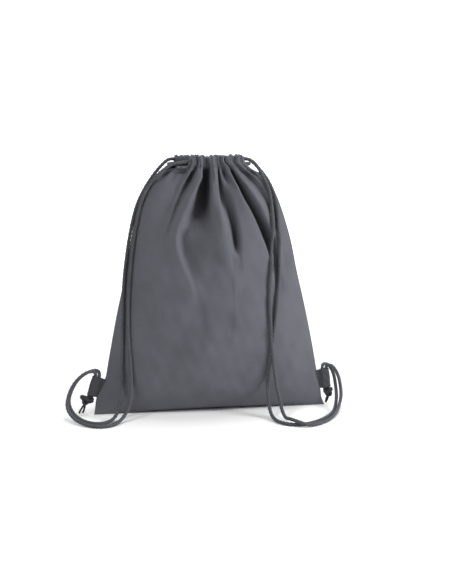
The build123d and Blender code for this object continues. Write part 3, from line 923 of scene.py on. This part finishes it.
def makeKnot(name, tab):
    # an overhand knot in both strands, drawn up tight, with the strands' ends below it
    out, up = np.array(tab["out"]), np.array(tab["up"])
    centre = tabPlace(tab, tab["knotAt"][0], 0, tab["knotAt"][1])
    wide, deep, tall = tab["knotSize"]
    swell = knotForm["swell"]
    t = np.linspace(0, 2 * math.pi, knotForm["steps"], endpoint=False) + knotForm["start"]
    flatX, flatZ = np.sin(t) + 2 * np.sin(2 * t), np.cos(t) - 2 * np.cos(2 * t)
    r = knotSize["width"] / 2 / mm
    line = (centre + out * (flatX * (wide - r) / 2.8 * mm)[:, None] + up * (flatZ * (tall - r) / 2.8 * mm)[:, None] +
            np.array((0, 1, 0)) * (np.sin(3 * t) * (deep - r) * swell * mm)[:, None])
    line = evenly(np.vstack([line, line[:3]]), knotSize["step"])[0]
    pieces = [braidTube(name + "Knot", line, 0, shadedCordLook, knotSize)]
    # one strand goes round the knot's waist, a little above its middle and tilted
    waist = centre + up * (tall * knotForm["wrapRise"] * mm)
    band = [waist + out * (wide * swell * mm * math.cos(a)) + np.array((0, deep * swell * mm * math.sin(a), 0)) +
            up * (knotForm["wrapTilt"] * math.cos(a)) for a in np.linspace(0, 2 * math.pi, 60)]
    band = evenly(np.array(band), knotSize["step"])[0]
    pieces.append(braidTube(name + "KnotWrap", band, 0, shadedCordLook, knotSize))
    for k, tip in enumerate(tab["tips"]):
        low = centre - up * (tall * 0.55) * mm + np.array((0, (2 * k - 1) * knotForm["apart"], 0)) * mm
        tipAt = np.array(tip) * mm
        bow = out * (0.8, -0.5)[k] * mm
        share = np.linspace(0, 1, 30)[:, None]
        tailLine = low * (1 - share) + tipAt * share + bow * np.sin(math.pi * share)
        tailLine = evenly(tailLine, tailSize["step"])[0]
        pieces.append(braidTube(name + "Tail" + str(k + 1), tailLine, 0, shadedCordLook, tailSize))
    for piece in pieces:
        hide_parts(name + ("_knot" if "Knot" in piece.name else "_cord_tails"))
        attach(piece, name + "_cord_end")
    return centre, pieces


def makeEnds():
    for name, tab in tabs.items():
        makeTab(name, tab)
        centre, pieces = makeKnot(name, tab)
        for part, bore, first in (("Inner", 9.2, 0), ("Outer", 14.8, 1)):
            last = centre + np.array(tab["up"]) * 1.5 * mm
            corners = [tabPlace(tab, bore, 0, up) for up in (11.7, -8, -15)] + [last]
            line = evenly(splineLine([tuple(c / mm) for c in corners]), endSize["step"])[0]
            piece = braidTube(name + "Strand" + part, line, 0, shadedCordLook, endSize)
            declareCord(name + "_cord_tab_run", line.tolist())
            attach(piece, name + "_cord_end")


makeEnds()
print("tabs and knots made")


# floor and light

studio = {"floor": (0.93, 0.93, 0.93, 1), "world": 0.3, "floorHalf": 6, "bendAt": 2.5, "bendRadius": 1.5,
          "key": {"place": (-1.6, -1.3, 2.2), "aim": (0, 0, 0.2), "size": 0.7, "power": 30},
          "fill": {"place": (1.9, -0.9, 1.0), "aim": (0, 0, 0.2), "size": 0.8, "power": 44},
          "top": {"place": (0.3, 0.4, 2.4), "aim": (0, 0, 0.1), "size": 1.2, "power": 30},
          "backdrop": {"place": (0, 1.6, 2.2), "aim": (0, 3.6, 1.3), "size": 2.0, "power": 110}}


def makeFloor():
    # one sheet that curves up far behind
    points = []
    bend, radius = studio["bendAt"], studio["bendRadius"]
    rise = [(bend + radius * math.sin(a), radius - radius * math.cos(a)) for a in np.linspace(0.1, math.pi / 2, 14)]
    profile = [(-4.0, 0), (bend, 0)] + rise + [(bend + radius, 5)]
    for y, z in profile:
        points += [(-studio["floorHalf"], y, z), (studio["floorHalf"], y, z)]
    look = Look("paleFloor")
    grain = look.noise(look.add("ShaderNodeNewGeometry")["Position"], 3, 2)
    shade = 1 + (grain - 0.5) * 0.01
    colour = look.tint(studio["floor"], shade)
    finish = look.finish(colour, 0.7, None, specular=0.1)
    floor = makeMesh("floor", points, gridFaces(len(profile), 2), finish)


def softLight(name, options):
    data = bpy.data.lights.new(name, "AREA")
    data.shape, data.size, data.energy = "SQUARE", options["size"], options["power"]
    lamp = bpy.data.objects.new(name, data)
    scene.collection.objects.link(lamp)
    lamp.location = options["place"]
    aim = Vector(options["aim"]) - lamp.location
    lamp.rotation_euler = aim.to_track_quat("-Z", "Y").to_euler()


makeFloor()
for name in ("key", "fill", "top", "backdrop"):
    softLight(name, studio[name])
world = bpy.data.worlds.new("studio")
world.use_nodes = True
sky = world.node_tree.nodes["Background"].inputs
sky[0].default_value, sky[1].default_value = (1, 1, 1, 1), studio["world"]
scene.world = world
scene.view_settings.view_transform = "Standard"
print("stage lit")
